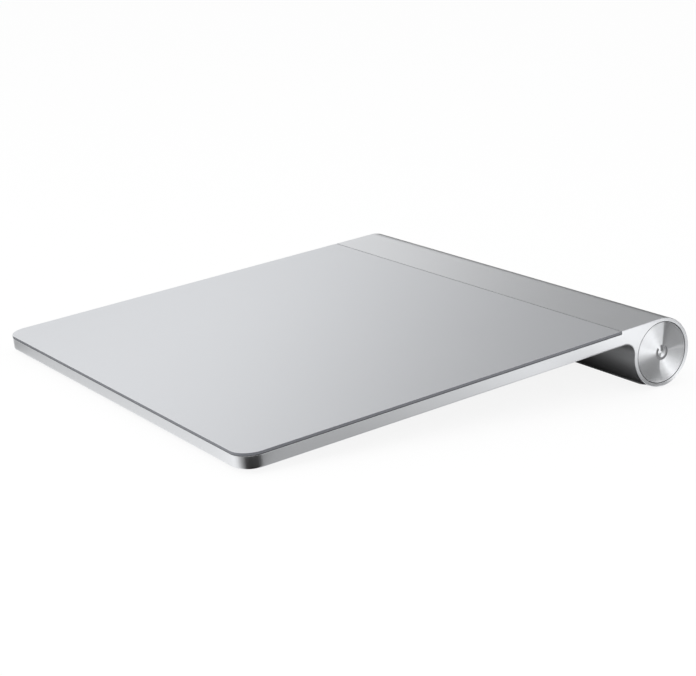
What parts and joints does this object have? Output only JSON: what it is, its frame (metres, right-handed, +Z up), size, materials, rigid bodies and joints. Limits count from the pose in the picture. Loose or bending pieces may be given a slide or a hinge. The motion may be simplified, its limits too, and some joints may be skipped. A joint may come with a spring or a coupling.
{
  "type": "trackpad",
  "caption": "Wireless desk trackpad: a flat glass touch surface on an aluminium plate that runs into a round rear battery tube, with click feet, a power button and a screwed battery cap.",
  "frame": {"origin": "centre of the footprint, on the desk", "axes": "+X to the user's right, +Y away from the user towards the battery tube, +Z up"},
  "size_m": [0.13, 0.1314, 0.0184],
  "materials": {
    "body_aluminium": "fine bead-blasted and clear anodised",
    "turned_aluminium": "faced on a lathe, concentric turning lines",
    "touch_glass": "satin etched, silver print on its back, so opaque",
    "black_bond": "dark adhesive line",
    "clear_film": "clear adhesive film",
    "circuit_board": "solder mask",
    "flex_film": "polyimide film",
    "chip_black": "moulded black",
    "white_plastic": "moulded, matt",
    "cover_plastic": "moulded, fine texture",
    "foot_rubber": "moulded rubber",
    "seal_rubber": "sealing ring",
    "tinned_steel": "tinned or nickel plated",
    "cell_wrap": "plain printed sleeve with no marks"
  },
  "bodies": {
    "pad_body": {"chassis": "body_aluminium", "touch_glass": "touch_glass", "glass_bond": "black_bond", "sensor_adhesive": "clear_film", "sensor_board": "circuit_board", "sensor_flex": "flex_film", "logic_board": "circuit_board", "board_chips": "chip_black", "radio_shield": "tinned_steel", "flex_connectors": "white_plastic", "board_screws": "tinned_steel", "switch_flex": "flex_film", "left_switch": "chip_black", "right_switch": "chip_black", "left_dome": "tinned_steel", "right_dome": "tinned_steel", "bottom_cover": "cover_plastic", "cover_adhesive": "black_bond", "rear_foot_strip": "foot_rubber", "cell_right": "cell_wrap", "cell_left": "cell_wrap", "button_housing": "chip_black", "power_board": "circuit_board", "power_switch": "chip_black", "power_dome": "tinned_steel", "power_flex": "flex_film", "contact_holder": "white_plastic", "positive_contact": "tinned_steel"},
    "left_foot": {"left_foot_plunger": "cover_plastic", "left_foot_pad": "foot_rubber"},
    "right_foot": {"right_foot_plunger": "cover_plastic", "right_foot_pad": "foot_rubber"},
    "power_button": {"button_cap": "turned_aluminium", "button_plunger": "white_plastic", "button_clip": "tinned_steel"},
    "cap_contact": {"cap_spring": "tinned_steel"},
    "battery_cap": {"cap_head": "turned_aluminium", "cap_plug": "white_plastic", "cap_seal": "seal_rubber"}
  },
  "joints": [
    {"name": "left_foot_press", "type": "slide", "parent": "pad_body", "child": "left_foot", "axis": [0, -0.1119, 0.9937], "range_m": [0, 0.00025], "stiffness_N_per_m": 4000, "springref_m": -0.00005, "deforming": ["left_dome"]},
    {"name": "right_foot_press", "type": "slide", "parent": "pad_body", "child": "right_foot", "axis": [0, -0.1119, 0.9937], "range_m": [0, 0.00025], "stiffness_N_per_m": 4000, "springref_m": -0.00005, "deforming": ["right_dome"]},
    {"name": "power_button_press", "type": "slide", "parent": "pad_body", "child": "power_button", "axis": [-1, 0, 0], "range_m": [0, 0.00035], "stiffness_N_per_m": 3000, "deforming": ["power_dome"]},
    {"name": "battery_cap_slide", "type": "slide", "parent": "pad_body", "child": "cap_contact", "axis": [-1, 0, 0], "range_m": [0, 0.0075]},
    {"name": "battery_cap_turn", "type": "hinge", "parent": "cap_contact", "child": "battery_cap", "pos_m": [-0.065, 0.05667, 0.0094], "axis": [-1, 0, 0], "range_deg": [0, 540]}
  ],
  "couplings": [
    {"joint": "battery_cap_turn", "follows": "battery_cap_slide", "rad_per_m": 1256.6}
  ]
}
